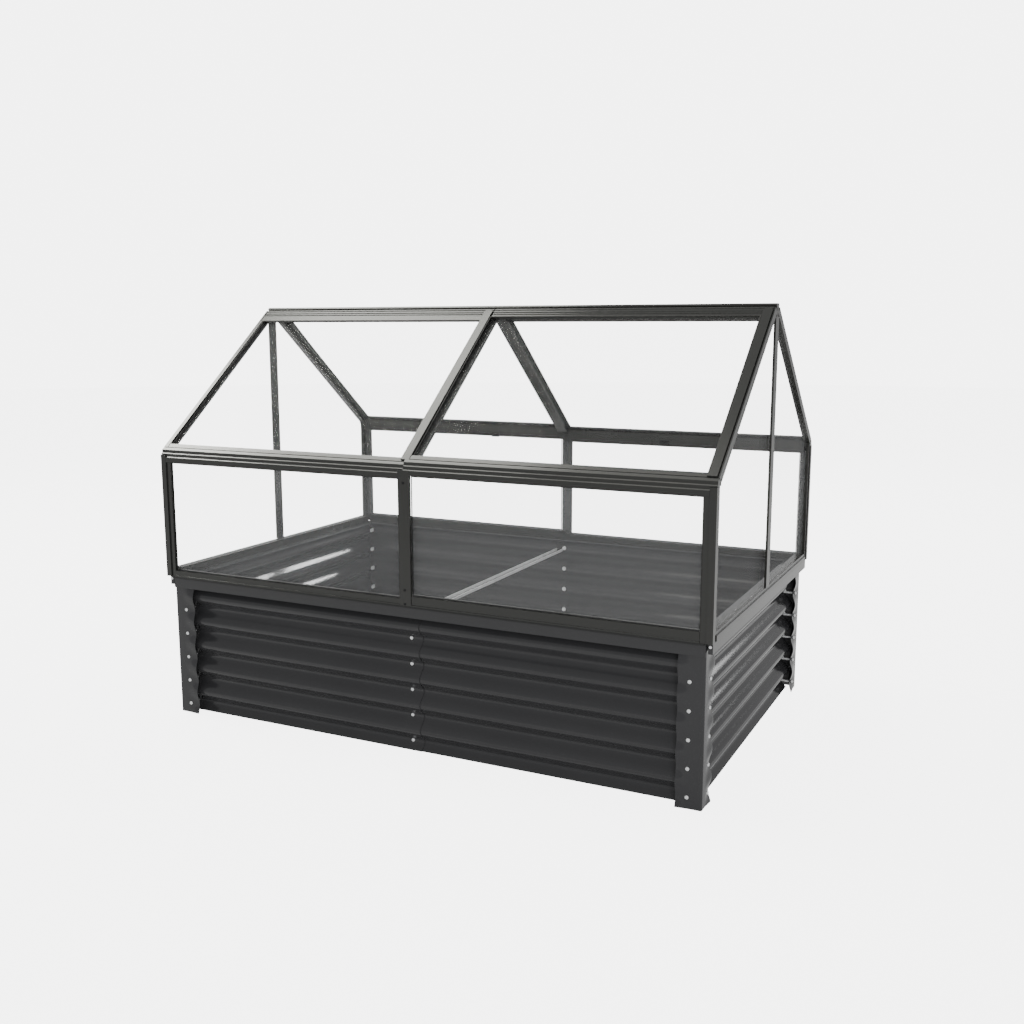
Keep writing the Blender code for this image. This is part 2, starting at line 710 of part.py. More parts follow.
def build_half(anchor, front, left, right, turned):
    """One long side with its left end, its roof and its two lids."""
    low, high = f"{front}_{left}", f"{front}_{right}"
    bed_long_side(anchor, f"{low}_panel", f"{high}_panel")
    bed_end(anchor, f"{left}_end_panel")
    bed_post(anchor, f"bed_post_{low}", -1.0)
    bed_post(anchor, f"bed_post_{high}", 1.0)
    bed_rim_front(anchor, f"rim_{front}")
    bed_rim_side(anchor, f"rim_{left}")
    sill_long(anchor, f"sill_{front}")
    sill_side(anchor, f"sill_{left}")
    house_post(anchor, f"corner_post_{low}", -1.0, LOW, True)
    house_post(anchor, f"corner_post_{high}", 1.0, HIGH, False)
    centre_post(anchor, f"centre_post_{front}")
    gable_mullion(anchor, f"gable_mullion_{left}")
    eave_beam(anchor, f"eave_beam_{low}", LOW, -1.0)
    eave_beam(anchor, f"eave_beam_{high}", HIGH, 1.0)
    end_rafter(anchor, f"end_rafter_{low}", LOW, -1.0, END_FLANGE)
    end_rafter(anchor, f"end_rafter_{high}", HIGH, 1.0, END_LIP)
    centre_rafter(anchor, f"centre_rafter_{front}")
    wall_pane(anchor, f"wall_pane_{low}", LOW, -1.0, LOW_SILL_TOP)
    wall_pane(anchor, f"wall_pane_{high}", HIGH, 1.0, HIGH_SILL_TOP)
    gable_pane(anchor, f"gable_pane_{left}")
    low_rail = (-(HOUSE_HALF_LENGTH - NARROW_FLANGE - LID_CLEAR), LOW_LID_RIGHT)
    low_pane = (-(HOUSE_HALF_LENGTH - END_FLANGE - LID_CLEAR), LOW_PANE_RIGHT)
    lid(f"lid_{low}", turned, LOW, LOW_RAIL, low_rail, low_pane, LOW_STILE_LEFT, LOW_STILE_START)
    high_span = (HIGH_LID_LEFT, HOUSE_HALF_LENGTH - END_LIP - LID_CLEAR)
    stile_left = high_span[1] - HIGH_STILE_WIDTH
    lid(f"lid_{high}", turned, HIGH, HIGH_RAIL, high_span, high_span, stile_left, FLANGE_START)


def main():
    """Build the whole cold frame."""
    for item in list(bpy.data.objects):
        bpy.data.objects.remove(item, do_unlink=True)
    front_half = Anchor("front_half", False)
    rear_half = Anchor("rear_half", True)
    build_half(front_half, "front", "left", "right", False)
    build_half(rear_half, "rear", "right", "left", True)
    tie_brace(front_half)
    ridge_beam(front_half)


main()
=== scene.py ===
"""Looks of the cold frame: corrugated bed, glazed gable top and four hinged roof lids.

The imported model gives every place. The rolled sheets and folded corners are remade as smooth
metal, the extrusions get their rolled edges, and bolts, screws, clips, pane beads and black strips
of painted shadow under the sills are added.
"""
from __future__ import annotations

import json
import logging
import math
from dataclasses import dataclass, field
from enum import Enum
from typing import Callable

import bpy
from mathutils import Matrix, Vector

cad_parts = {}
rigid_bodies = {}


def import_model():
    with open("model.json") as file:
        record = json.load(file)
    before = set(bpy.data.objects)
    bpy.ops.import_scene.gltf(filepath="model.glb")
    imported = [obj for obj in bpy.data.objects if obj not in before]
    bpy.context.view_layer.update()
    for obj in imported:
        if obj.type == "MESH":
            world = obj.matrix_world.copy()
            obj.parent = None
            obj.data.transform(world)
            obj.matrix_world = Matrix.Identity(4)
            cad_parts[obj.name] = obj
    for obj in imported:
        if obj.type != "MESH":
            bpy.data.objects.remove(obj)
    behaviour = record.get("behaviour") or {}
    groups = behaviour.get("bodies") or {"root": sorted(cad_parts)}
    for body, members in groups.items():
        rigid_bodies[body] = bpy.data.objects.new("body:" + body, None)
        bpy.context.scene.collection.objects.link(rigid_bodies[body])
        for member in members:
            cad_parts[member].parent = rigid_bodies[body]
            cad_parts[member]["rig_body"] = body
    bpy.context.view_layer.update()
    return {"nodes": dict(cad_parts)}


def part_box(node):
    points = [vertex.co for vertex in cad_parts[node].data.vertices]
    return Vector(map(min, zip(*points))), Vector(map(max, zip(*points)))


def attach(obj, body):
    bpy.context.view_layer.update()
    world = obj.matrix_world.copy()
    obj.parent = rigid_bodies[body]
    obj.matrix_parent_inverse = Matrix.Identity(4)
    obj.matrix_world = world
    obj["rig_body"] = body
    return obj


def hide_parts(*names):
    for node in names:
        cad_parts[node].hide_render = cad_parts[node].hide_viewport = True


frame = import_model()

LOG = logging.getLogger("cold_frame")
FIXED_BODY = "frame"
SAME_PLACE = 1e-5
LOOKS_ALONG = 0.9


class Slot(Enum):
    """Material slots of the record."""

    BED = "bed_steel"
    ALUMINIUM = "frame_aluminium"
    GLAZING = "glazing"
    ZINC = "galvanised"


# ---------------------------------------------------------------- node helpers


def add_node(tree: bpy.types.NodeTree, kind: str, **values: object) -> bpy.types.Node:
    """Add a shader node and set its properties and input defaults.

    Args:
        tree: the node tree to add to.
        kind: the node's bl_idname.
        values: a property of the node, or an input socket with spaces written as underscores.

    Returns:
        The new node.
    """
    node = tree.nodes.new(kind)
    for key, value in values.items():
        if hasattr(node, key):
            setattr(node, key, value)
        else:
            node.inputs[key.replace("_", " ")].default_value = value
    return node


def link(tree: bpy.types.NodeTree, source: bpy.types.NodeSocket, target: bpy.types.NodeSocket) -> None:
    """Link two sockets.

    Args:
        tree: the tree that holds both.
        source: the output socket.
        target: the input socket.
    """
    tree.links.new(source, target)


def new_group(name: str, inputs: dict[str, float], outputs: tuple[str, ...]) -> bpy.types.NodeTree:
    """Make an empty shader group with float inputs and outputs, and a vector input.

    Args:
        name: the group's name.
        inputs: float inputs and their default values.
        outputs: names of the float outputs.

    Returns:
        The group's node tree, with its input and output nodes added.
    """
    group = bpy.data.node_groups.new(name, "ShaderNodeTree")
    group.interface.new_socket("Vector", in_out="INPUT", socket_type="NodeSocketVector")
    for label, value in inputs.items():
        socket = group.interface.new_socket(label, in_out="INPUT", socket_type="NodeSocketFloat")
        socket.default_value = value
    for label in outputs:
        group.interface.new_socket(label, in_out="OUTPUT", socket_type="NodeSocketFloat")
    group.nodes.new("NodeGroupInput")
    group.nodes.new("NodeGroupOutput")
    return group


def coat_texture_group() -> bpy.types.NodeTree:
    """Build the orange-peel texture of powder coat.

    Returns:
        A group with the outputs Mottle (broad shade variation), Peel (bump height) and Speck.
    """
    group = new_group("coat_texture", {"Peel Scale": 420.0, "Mottle Scale": 9.0},
                      ("Mottle", "Peel", "Speck"))
    source = group.nodes["Group Input"]
    result = group.nodes["Group Output"]
    mottle = add_node(group, "ShaderNodeTexNoise", Detail=4.0, Roughness=0.55)
    peel = add_node(group, "ShaderNodeTexNoise", Detail=2.0, Roughness=0.45)
    speck = add_node(group, "ShaderNodeTexNoise", Scale=1400.0, Detail=1.0)
    cut = add_node(group, "ShaderNodeMapRange", From_Min=0.66, From_Max=0.78)
    for noise in (mottle, peel, speck):
        link(group, source.outputs["Vector"], noise.inputs["Vector"])
    link(group, source.outputs["Mottle Scale"], mottle.inputs["Scale"])
    link(group, source.outputs["Peel Scale"], peel.inputs["Scale"])
    link(group, speck.outputs["Fac"], cut.inputs["Value"])
    link(group, mottle.outputs["Fac"], result.inputs["Mottle"])
    link(group, peel.outputs["Fac"], result.inputs["Peel"])
    link(group, cut.outputs["Result"], result.inputs["Speck"])
    return group


def dust_group() -> bpy.types.NodeTree:
    """Build the thin dust that settles on faces that look up.

    Returns:
        A group with the output Dust, from 0 on a clean face to 1 on a dusty one.
    """
    group = new_group("settled_dust", {"Amount": 0.3, "Patch Scale": 14.0}, ("Dust",))
    source = group.nodes["Group Input"]
    result = group.nodes["Group Output"]
    geometry = add_node(group, "ShaderNodeNewGeometry")
    split = add_node(group, "ShaderNodeSeparateXYZ")
    facing = add_node(group, "ShaderNodeMapRange", From_Min=0.35, From_Max=1.0)
    patch = add_node(group, "ShaderNodeTexNoise", Detail=6.0, Roughness=0.7)
    soft = add_node(group, "ShaderNodeMapRange", From_Min=0.35, From_Max=0.75)
    both = add_node(group, "ShaderNodeMath", operation="MULTIPLY")
    scaled = add_node(group, "ShaderNodeMath", operation="MULTIPLY")
    link(group, geometry.outputs["Normal"], split.inputs["Vector"])
    link(group, split.outputs["Z"], facing.inputs["Value"])
    link(group, source.outputs["Vector"], patch.inputs["Vector"])
    link(group, source.outputs["Patch Scale"], patch.inputs["Scale"])
    link(group, patch.outputs["Fac"], soft.inputs["Value"])
    link(group, facing.outputs["Result"], both.inputs[0])
    link(group, soft.outputs["Result"], both.inputs[1])
    link(group, both.outputs["Value"], scaled.inputs[0])
    link(group, source.outputs["Amount"], scaled.inputs[1])
    link(group, scaled.outputs["Value"], result.inputs["Dust"])
    return group


def brushed_group() -> bpy.types.NodeTree:
    """Build fine lines that run along one axis, as drawn or rolled metal has them.

    Returns:
        A group with the output Lines.
    """
    group = new_group("drawn_lines", {"Stretch": 0.01, "Line Scale": 900.0}, ("Lines",))
    source = group.nodes["Group Input"]
    result = group.nodes["Group Output"]
    squeeze = add_node(group, "ShaderNodeVectorMath", operation="MULTIPLY")
    shape = add_node(group, "ShaderNodeCombineXYZ", Y=1.0, Z=1.0)
    lines = add_node(group, "ShaderNodeTexNoise", Detail=3.0, Roughness=0.6)
    link(group, source.outputs["Stretch"], shape.inputs["X"])
    link(group, source.outputs["Vector"], squeeze.inputs[0])
    link(group, shape.outputs["Vector"], squeeze.inputs[1])
    link(group, squeeze.outputs["Vector"], lines.inputs["Vector"])
    link(group, source.outputs["Line Scale"], lines.inputs["Scale"])
    link(group, lines.outputs["Fac"], result.inputs["Lines"])
    return group


class Shared:
    """Node groups that more than one finish uses, built once."""

    _groups: dict[str, bpy.types.NodeTree] = {}

    @classmethod
    def get(cls, maker: Callable[[], bpy.types.NodeTree]) -> bpy.types.NodeTree:
        """Return a group, building it the first time.

        Args:
            maker: the function that builds the group.

        Returns:
            The group's node tree.
        """
        if maker.__name__ not in cls._groups:
            cls._groups[maker.__name__] = maker()
        return cls._groups[maker.__name__]


@dataclass(frozen=True)
class Finish:
    """A material that is made the first time it is asked for."""

    name: str

    def material(self) -> bpy.types.Material:
        """Find the finish's material, building it the first time.

        Returns:
            The material.
        """
        found = bpy.data.materials.get(self.name)
        return found if found else self.build()

    def start(self) -> tuple[bpy.types.Material, bpy.types.NodeTree, bpy.types.Node, bpy.types.Node]:
        """Make a material with its shader and object coordinates.

        Returns:
            The material, its tree, its Principled BSDF and its Texture Coordinate node.
        """
        material = bpy.data.materials.new(self.name)
        material.use_nodes = True
        tree = material.node_tree
        place = add_node(tree, "ShaderNodeTexCoord")
        return material, tree, tree.nodes["Principled BSDF"], place

    def group(self, tree: bpy.types.NodeTree, maker: Callable, place: bpy.types.Node,
              **values: float) -> bpy.types.Node:
        """Place a shared group in a material.

        Args:
            tree: the material's tree.
            maker: the function that builds the group.
            place: the Texture Coordinate node that feeds it.
            values: the group's inputs, with spaces written as underscores.

        Returns:
            The group node.
        """
        node = tree.nodes.new("ShaderNodeGroup")
        node.node_tree = Shared.get(maker)
        for key, value in values.items():
            node.inputs[key.replace("_", " ")].default_value = value
        link(tree, place.outputs["Object"], node.inputs["Vector"])
        return node

    def build(self) -> bpy.types.Material:
        """Build the material.

        Returns:
            The material.
        """
        raise NotImplementedError


@dataclass(frozen=True)
class PowderCoat(Finish):
    """Baked polyester coat on metal, with its peel, broad mottle and settled dust."""

    dark: tuple[float, float, float]
    light: tuple[float, float, float]
    gloss_low: float = 0.34
    gloss_high: float = 0.48
    metallic: float = 0.0
    peel: float = 0.06
    dust: float = 0.25
    lines: float = 0.0
    specular: float = 0.38

    def build(self) -> bpy.types.Material:
        """Build the coat.

        Returns:
            The material.
        """
        material, tree, shader, place = self.start()
        coat = self.group(tree, coat_texture_group, place)
        dust = self.group(tree, dust_group, place, Amount=self.dust)
        drawn = self.group(tree, brushed_group, place)
        tone = add_node(tree, "ShaderNodeMix", data_type="RGBA")
        tone.inputs["A"].default_value = (*self.dark, 1.0)
        tone.inputs["B"].default_value = (*self.light, 1.0)
        link(tree, coat.outputs["Mottle"], tone.inputs["Factor"])
        dusty = add_node(tree, "ShaderNodeMix", data_type="RGBA")
        dusty.inputs["B"].default_value = (0.30, 0.29, 0.27, 1.0)
        link(tree, tone.outputs["Result"], dusty.inputs["A"])
        link(tree, dust.outputs["Dust"], dusty.inputs["Factor"])
        link(tree, dusty.outputs["Result"], shader.inputs["Base Color"])
        gloss = add_node(tree, "ShaderNodeMapRange", To_Min=self.gloss_low, To_Max=self.gloss_high)
        link(tree, coat.outputs["Mottle"], gloss.inputs["Value"])
        rough = add_node(tree, "ShaderNodeMath", operation="MULTIPLY_ADD")
        rough.inputs[1].default_value = 0.35
        link(tree, dust.outputs["Dust"], rough.inputs[0])
        link(tree, gloss.outputs["Result"], rough.inputs[2])
        link(tree, rough.outputs["Value"], shader.inputs["Roughness"])
        height = add_node(tree, "ShaderNodeMath", operation="MULTIPLY_ADD")
        height.inputs[1].default_value = self.lines
        link(tree, drawn.outputs["Lines"], height.inputs[0])
        link(tree, coat.outputs["Peel"], height.inputs[2])
        bump = add_node(tree, "ShaderNodeBump", Strength=self.peel, Distance=0.0001)
        link(tree, height.outputs["Value"], bump.inputs["Height"])
        link(tree, bump.outputs["Normal"], shader.inputs["Normal"])
        shader.inputs["Metallic"].default_value = self.metallic
        shader.inputs["Specular IOR Level"].default_value = self.specular
        return material


@dataclass(frozen=True)
class Zinc(Finish):
    """Bright zinc plate with spangle and settled dust, and painted shade where asked: dark below a height
    and past a distance to each end.
    """

    dark: tuple[float, float, float] = (0.70, 0.71, 0.72)
    light: tuple[float, float, float] = (0.92, 0.93, 0.93)
    spangle: float = 160.0
    roughness: float = 0.42
    # painted shade: below this height, and past this distance to each end, the plate is painted dark
    shade_below: float = 0.0
    shade_past: float = 9.0

    def build(self) -> bpy.types.Material:
        """Build the plating.

        Returns:
            The material.
        """
        material, tree, shader, place = self.start()
        cells = add_node(tree, "ShaderNodeTexVoronoi", Scale=self.spangle)
        link(tree, place.outputs["Object"], cells.inputs["Vector"])
        tone = add_node(tree, "ShaderNodeMix", data_type="RGBA")
        tone.inputs["A"].default_value = (*self.dark, 1.0)
        tone.inputs["B"].default_value = (*self.light, 1.0)
        link(tree, cells.outputs["Color"], tone.inputs["Factor"])
        # painted shade: this dark colour covers the plate where the mask says, in place of the shade on a
        # channel's floor and ends
        painted_shade_mix = add_node(tree, "ShaderNodeMix", data_type="RGBA")
        painted_shade_mix.inputs["B"].default_value = (0.030, 0.029, 0.027, 1.0)
        link(tree, tone.outputs["Result"], painted_shade_mix.inputs["A"])
        link(tree, self.painted_shade_mask(tree, place), painted_shade_mix.inputs["Factor"])
        link(tree, painted_shade_mix.outputs["Result"], shader.inputs["Base Color"])
        dust = self.group(tree, dust_group, place, Amount=0.5, Patch_Scale=40.0)
        rough = add_node(tree, "ShaderNodeMath", operation="MULTIPLY_ADD")
        rough.inputs[1].default_value = 0.3
        rough.inputs[2].default_value = self.roughness
        link(tree, dust.outputs["Dust"], rough.inputs[0])
        link(tree, rough.outputs["Value"], shader.inputs["Roughness"])
        drawn = self.group(tree, brushed_group, place, Stretch=1.0, Line_Scale=500.0)
        bump = add_node(tree, "ShaderNodeBump", Strength=0.15, Distance=0.0003)
        link(tree, drawn.outputs["Lines"], bump.inputs["Height"])
        link(tree, bump.outputs["Normal"], shader.inputs["Normal"])
        shader.inputs["Metallic"].default_value = 0.3
        return material


    def painted_shade_mask(self, tree: bpy.types.NodeTree, place: bpy.types.Node) -> bpy.types.NodeSocket:
        """Mask the painted shade: dark below a height, where a channel's floor lies in shade, and past a
        distance to each end.

        Args:
            tree: the material's tree.
            place: the Texture Coordinate node.

        Returns:
            The mask's socket.
        """
        split = add_node(tree, "ShaderNodeSeparateXYZ")
        low = add_node(tree, "ShaderNodeMath", operation="LESS_THAN")
        low.inputs[1].default_value = self.shade_below
        reach = add_node(tree, "ShaderNodeMath", operation="ABSOLUTE")
        far = add_node(tree, "ShaderNodeMath", operation="GREATER_THAN")
        far.inputs[1].default_value = self.shade_past
        either = add_node(tree, "ShaderNodeMath", operation="MAXIMUM")
        link(tree, place.outputs["Object"], split.inputs["Vector"])
        link(tree, split.outputs["Z"], low.inputs[0])
        link(tree, split.outputs["Y"], reach.inputs[0])
        link(tree, reach.outputs["Value"], far.inputs[0])
        link(tree, low.outputs["Value"], either.inputs[0])
        link(tree, far.outputs["Value"], either.inputs[1])
        return either.outputs["Value"]


@dataclass(frozen=True)
class ClearPane(Finish):
    """Clear glazing that holds a little haze, with a painted reflection: its pale base colour covers more
    of the pane towards a grazing view.
    """

    tint: tuple[float, float, float] = (0.80, 0.82, 0.84)
    haze: float = 0.02
    # painted reflection: the most coverage of the pale base colour, reached at a grazing view
    painted_reflection: float = 0.12

    def build(self) -> bpy.types.Material:
        """Build the glazing.

        Returns:
            The material.
        """
        material, tree, shader, place = self.start()
        coat = self.group(tree, coat_texture_group, place, Mottle_Scale=3.0, Peel_Scale=30.0)
        dust = self.group(tree, dust_group, place, Amount=0.01, Patch_Scale=5.0)
        # painted reflection: the pale base colour covers more towards a grazing view, on top of the
        # shader's own gloss
        weight = add_node(tree, "ShaderNodeLayerWeight", Blend=0.5)
        rise = add_node(tree, "ShaderNodeMath", operation="POWER")
        rise.inputs[1].default_value = 3.0
        link(tree, weight.outputs["Facing"], rise.inputs[0])
        reflection_veil = add_node(tree, "ShaderNodeMath", operation="MULTIPLY_ADD")
        reflection_veil.inputs[1].default_value = self.painted_reflection
        reflection_veil.inputs[2].default_value = self.haze
        link(tree, rise.outputs["Value"], reflection_veil.inputs[0])
        cover = add_node(tree, "ShaderNodeMath", operation="ADD", use_clamp=True)
        link(tree, reflection_veil.outputs["Value"], cover.inputs[0])
        link(tree, dust.outputs["Dust"], cover.inputs[1])
        link(tree, cover.outputs["Value"], shader.inputs["Alpha"])
        tone = add_node(tree, "ShaderNodeMix", data_type="RGBA")
        tone.inputs["A"].default_value = (*self.tint, 1.0)
        tone.inputs["B"].default_value = (0.93, 0.94, 0.94, 1.0)
        link(tree, coat.outputs["Mottle"], tone.inputs["Factor"])
        link(tree, tone.outputs["Result"], shader.inputs["Base Color"])
        gloss = add_node(tree, "ShaderNodeMapRange", To_Min=0.03, To_Max=0.09)
        link(tree, coat.outputs["Mottle"], gloss.inputs["Value"])
        link(tree, gloss.outputs["Result"], shader.inputs["Roughness"])
        bump = add_node(tree, "ShaderNodeBump", Strength=0.02, Distance=0.001)
        link(tree, coat.outputs["Peel"], bump.inputs["Height"])
        link(tree, bump.outputs["Normal"], shader.inputs["Normal"])
        return material


@dataclass(frozen=True)
class Backdrop(Finish):
    """Pale matt studio floor."""

    tone: tuple[float, float, float] = (0.42, 0.42, 0.42)
    glow: float = 4.6
    bounce: float = 0.45

    def build(self) -> bpy.types.Material:
        """Build the floor's finish.

        Returns:
            The material.
        """
        material, tree, shader, place = self.start()
        coat = self.group(tree, coat_texture_group, place, Mottle_Scale=0.8)
        tone = add_node(tree, "ShaderNodeMix", data_type="RGBA")
        tone.inputs["A"].default_value = (*self.tone, 1.0)
        tone.inputs["B"].default_value = tuple(c * 1.03 for c in self.tone) + (1.0,)
        link(tree, coat.outputs["Mottle"], tone.inputs["Factor"])
        link(tree, tone.outputs["Result"], shader.inputs["Base Color"])
        shader.inputs["Roughness"].default_value = 0.9
        shader.inputs["Emission Color"].default_value = (1.0, 1.0, 1.0, 1.0)
        material.cycles.emission_sampling = "NONE"
        rays = add_node(tree, "ShaderNodeLightPath")
        glow = add_node(tree, "ShaderNodeMath", operation="MULTIPLY_ADD")
        glow.inputs[1].default_value = self.glow
        glow.inputs[2].default_value = self.bounce
        link(tree, rays.outputs["Is Camera Ray"], glow.inputs[0])
        link(tree, glow.outputs["Value"], shader.inputs["Emission Strength"])
        return material


BED_COAT = PowderCoat("bed_powder_coat", (0.0330, 0.0330, 0.0355), (0.0390, 0.0390, 0.0410), 0.12, 0.14,
                      peel=0.012, dust=0.01, specular=0.26)
FRAME_COAT = PowderCoat("frame_powder_coat", (0.0190, 0.0195, 0.0180), (0.0240, 0.0245, 0.0225),
                        gloss_low=0.20, gloss_high=0.25, peel=0.012, dust=0.01, lines=0.1)
RUBBER_AND_PAINTED_SHADOW = PowderCoat("rubber_and_painted_shadow", (0.010, 0.010, 0.010), (0.018, 0.018, 0.018), 0.6, 0.8, peel=0.10)
BLACK_SCREW = PowderCoat("black_screw", (0.008, 0.008, 0.009), (0.016, 0.016, 0.017), 0.3, 0.4,
                         metallic=0.6)
ZINC = Zinc("zinc_plate")
# painted shade on the tie: dark below the top of its channel's floor, and past a distance on its ends
TIE_ZINC = Zinc("tie_zinc", spangle=60.0, roughness=0.26, shade_below=0.2822, shade_past=0.352)
WALL_PANE = ClearPane("wall_glazing", haze=0.044)
ROOF_PANE = ClearPane("roof_glazing", haze=0.006, painted_reflection=0.08)
FLOOR = Backdrop("studio_floor")


# ---------------------------------------------------------------- modelling helpers


def only(piece: bpy.types.Object) -> bpy.types.Object:
    """Make a piece the only selected and active object.

    Args:
        piece: the object.

    Returns:
        The same object.
    """
    bpy.ops.object.select_all(action="DESELECT")
    piece.select_set(True)
    bpy.context.view_layer.objects.active = piece
    return piece


def added(name: str) -> bpy.types.Object:
    """Name the primitive that was just added.

    Args:
        name: the object's and the mesh's name.

    Returns:
        The object, selected and active.
    """
    piece = bpy.context.active_object
    piece.name = name
    piece.data.name = name
    return only(piece)


def select_faces(piece: bpy.types.Object, test: Callable[[bpy.types.MeshPolygon], bool]) -> None:
    """Select the faces that pass a test, and leave the piece in edit mode.

    Args:
        piece: the object, in object mode.
        test: takes a face and says whether to select it.
    """
    only(piece)
    bpy.ops.object.mode_set(mode="EDIT")
    bpy.ops.mesh.select_mode(type="FACE")
    bpy.ops.mesh.select_all(action="DESELECT")
    bpy.ops.object.mode_set(mode="OBJECT")
    for face in piece.data.polygons:
        face.select = test(face)
    bpy.ops.object.mode_set(mode="EDIT")


def select_front(piece: bpy.types.Object) -> None:
    """Select the foremost flat faces that look along -Y, and leave the piece in edit mode.

    Args:
        piece: the object, in object mode.
    """
    front = min(face.center.y for face in piece.data.polygons) + SAME_PLACE
    select_faces(piece, lambda face: face.normal.y < -LOOKS_ALONG and face.center.y < front)


def turn_outward(piece: bpy.types.Object) -> None:
    """Make all of a piece's faces look outward.

    Args:
        piece: the object, in object mode.
    """
    only(piece)
    bpy.ops.object.mode_set(mode="EDIT")
    bpy.ops.mesh.select_all(action="SELECT")
    bpy.ops.mesh.normals_make_consistent(inside=False)
    finish_edit()


def finish_edit() -> None:
    """Return to object mode."""
    bpy.ops.object.mode_set(mode="OBJECT")


def apply_modifier(piece: bpy.types.Object, kind: str, **values: object) -> None:
    """Add a modifier, set it up and apply it.

    Args:
        piece: the object.
        kind: the modifier's type.
        values: its properties.
    """
    only(piece)
    modifier = piece.modifiers.new(kind.lower(), kind)
    for key, value in values.items():
        setattr(modifier, key, value)
    bpy.ops.object.modifier_apply(modifier=modifier.name)


def duplicate(pattern: bpy.types.Object, name: str) -> bpy.types.Object:
    """Copy a piece with a mesh of its own.

    Args:
        pattern: the piece to copy.
        name: the copy's name.

    Returns:
        The copy, in the scene.
    """
    copy = pattern.copy()
    copy.data = pattern.data.copy()
    copy.name = name
    bpy.context.scene.collection.objects.link(copy)
    return copy


def settle(piece: bpy.types.Object, matrix: Matrix | None = None) -> None:
    """Put a piece's place into its mesh, and leave its object at the origin.

    Args:
        piece: the object.
        matrix: where it goes, on top of where it stands.
    """
    if matrix is not None:
        piece.matrix_world = matrix @ piece.matrix_world
    only(piece)
    bpy.ops.object.transform_apply(location=True, rotation=True, scale=True)


def dress(piece: bpy.types.Object, finish: Finish, body: str, angle: float = 40.0) -> None:
    """Give a piece its finish, shading and body, and report it.

    Args:
        piece: the object, in place.
        finish: its finish.
        body: the CAD body that it moves with.
        angle: edges sharper than this many degrees stay sharp.
    """
    piece.data.materials.clear()
    piece.data.materials.append(finish.material())
    only(piece)
    bpy.ops.object.shade_smooth_by_angle(angle=math.radians(angle))
    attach(piece, body)
    LOG.info("%s: %d faces on %s", piece.name, len(piece.data.polygons), body)


def body_of(node: str) -> str:
    """Look up the CAD body that holds a node.

    Args:
        node: the node's name.

    Returns:
        The body's name.
    """
    return frame["nodes"][node]["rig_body"]


def half_turn(piece_is_rear: bool) -> Matrix:
    """Make the turn that carries a front piece to its rear place.

    Args:
        piece_is_rear: whether the piece belongs at the rear.

    Returns:
        Half a turn about Z, or no turn for a front piece.
    """
    return Matrix.Rotation(math.pi if piece_is_rear else 0.0, 4, "Z")


# ---------------------------------------------------------------- sub-assemblies


@dataclass
class Corrugation:
    """The wave that the bed's sheets and posts share."""

    pitch: float = 0.0536
    first_valley: float = 0.0214
    depth: float = 0.018
    rows: int = 6

    def phase(self, z: float) -> float:
        """Give the place on the wave at a height.

        Args:
            z: the height.

        Returns:
            1 on a crest and -1 in a valley.
        """
        return -math.cos(2.0 * math.pi * (z - self.first_valley) / self.pitch)

    def row(self, index: int) -> float:
        """Give the height of a valley, where a row of bolts sits.

        Args:
            index: the row, counted from the lowest.

        Returns:
            The height.
        """
        return self.first_valley + index * self.pitch


@dataclass
class RolledSheet:
    """One corrugated sheet, remade smooth in the place of its faceted solid."""

    node: str
    wave: Corrugation
    gauge: float = 0.0012
    facets: int = 14

    def build(self) -> bpy.types.Object:
        """Model the sheet as a grid, roll the waves and give it its gauge.

        Returns:
            The sheet.
        """
        low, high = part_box(self.node)
        along = 0 if high.x - low.x > high.y - low.y else 1
        across = 1 - along
        centre = (low + high) / 2
        outward = -1.0 if centre[across] < 0.0 else 1.0
        crest = low[across] if outward < 0.0 else high[across]
        height = high.z - low.z
        rows = round(height / self.wave.pitch * self.facets)
        bpy.ops.mesh.primitive_grid_add(x_subdivisions=24, y_subdivisions=rows, size=1.0)
        sheet = added(f"{self.node}_sheet")
        for vert in sheet.data.vertices:
            z = low.z + (vert.co.y + 0.5) * height
            place = Vector((0.0, 0.0, z))
            place[along] = low[along] + (vert.co.x + 0.5) * (high[along] - low[along])
            inward = self.gauge / 2 + self.wave.depth / 2 * (1.0 - self.wave.phase(z))
            place[across] = crest - outward * inward
            vert.co = place
        apply_modifier(sheet, "SOLIDIFY", thickness=self.gauge * 0.8, offset=0.0)
        turn_outward(sheet)
        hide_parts(self.node)
        dress(sheet, BED_COAT, body_of(self.node), angle=50.0)
        return sheet


